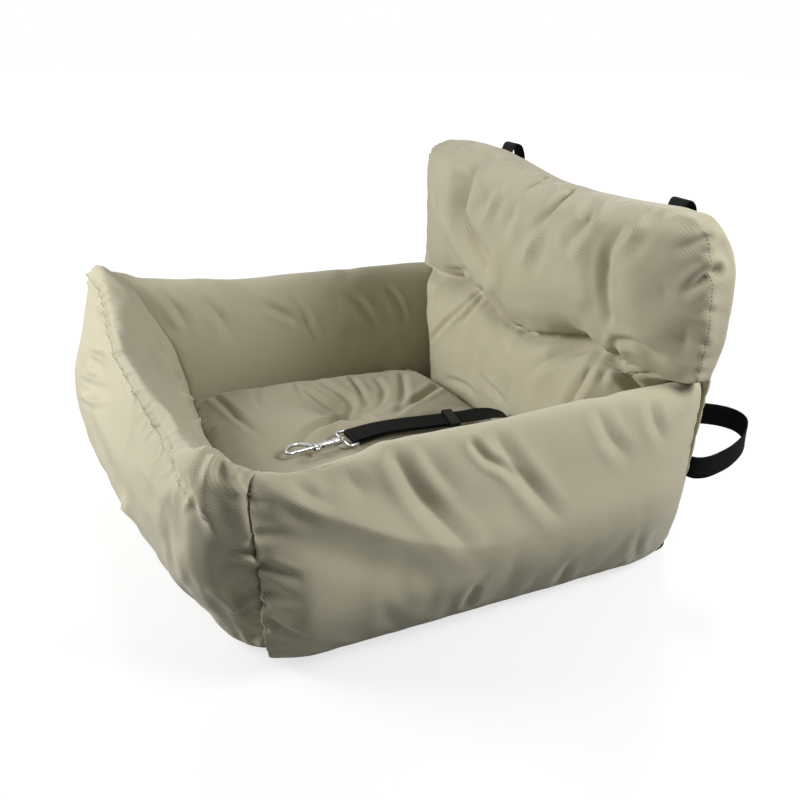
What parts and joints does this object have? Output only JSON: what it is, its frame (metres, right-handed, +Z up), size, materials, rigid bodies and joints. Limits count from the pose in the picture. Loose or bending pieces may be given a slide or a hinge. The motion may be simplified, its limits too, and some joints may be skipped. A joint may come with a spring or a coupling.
{
  "type": "dog car bed",
  "caption": "Stuffed dog bed for a car seat: bolsters round a tufted cushion, a tufted backrest, headrest loops, a seat belt loop and a clip-on leash.",
  "frame": {"origin": "on the floor under the middle of the bed: halfway between the outer faces of the side bolsters, and halfway between the rear panel's rear face and the front corners", "axes": "+Z up; the low front bolster that the dog steps over faces -Y, the backrest stands at +Y against the vehicle's seat back, and +X is to the right of someone who faces the bed's backrest"},
  "size_m": [0.607, 0.6459, 0.3895],
  "materials": {
    "khaki_twill": "matt khaki twill of heavy polyester with a fine diagonal weave",
    "black_webbing": "black ribbed polypropylene webbing",
    "black_underside": "black cloth with a grippy dotted coating",
    "chrome": "polished nickel or chrome plate on a zinc casting",
    "black_plastic": "satin black acetal",
    "spring_steel": "bright drawn spring wire"
  },
  "bodies": {
    "bed": {"nonslip_base": "black_underside", "base_pad": "khaki_twill", "front_bolster": "khaki_twill", "left_bolster": "khaki_twill", "right_bolster": "khaki_twill", "rear_panel": "khaki_twill", "seat_cushion": "khaki_twill", "backrest_lower": "khaki_twill", "seat_belt_loop": "black_webbing", "belt_patch_near": "khaki_twill", "belt_patch_far": "khaki_twill", "leash_webbing": "black_webbing", "leash_return": "black_webbing", "snap_eye": "chrome", "zip_tape": "khaki_twill", "zip_chain": "black_plastic"},
    "backrest": {"backrest_upper": "khaki_twill", "headrest_loop_left": "black_webbing", "headrest_loop_right": "black_webbing"},
    "adjuster": {"leash_adjuster": "black_plastic"},
    "snap": {"snap_body": "chrome", "snap_spring": "spring_steel"},
    "bolt": {"snap_bolt": "chrome"},
    "zip_slider": {"zip_slider": "chrome"},
    "zip_pull": {"zip_pull": "chrome"}
  },
  "joints": [
    {"name": "backrest_fold", "type": "hinge", "parent": "bed", "child": "backrest", "pos_m": [0, 0.209, 0.205], "axis": [1, 0, 0], "range_deg": [0, 35], "stiffness_Nm_per_rad": 1.2, "springref_deg": -17.19},
    {"name": "adjuster_slide", "type": "slide", "parent": "bed", "child": "adjuster", "axis": [-0.1064, -0.9943, 0], "range_m": [0, 0.016], "deforming": ["leash_return"]},
    {"name": "snap_swivel", "type": "hinge", "parent": "bed", "child": "snap", "pos_m": [0.03121, -0.05865, 0.09], "axis": [-0.1857, 0.9826, 0], "continuous": true},
    {"name": "snap_bolt_slide", "type": "slide", "parent": "snap", "child": "bolt", "axis": [-0.1857, 0.9826, 0], "range_m": [0, 0.0075], "stiffness_N_per_m": 150, "springref_m": -0.005, "deforming": ["snap_spring"]},
    {"name": "zip_slide", "type": "slide", "parent": "bed", "child": "zip_slider", "axis": [-1, 0, 0], "range_m": [0, 0.32]},
    {"name": "zip_pull_flip", "type": "hinge", "parent": "zip_slider", "child": "zip_pull", "pos_m": [0.16, 0.25915, 0.048], "axis": [0, 0, -1], "range_deg": [0, 150]}
  ]
}
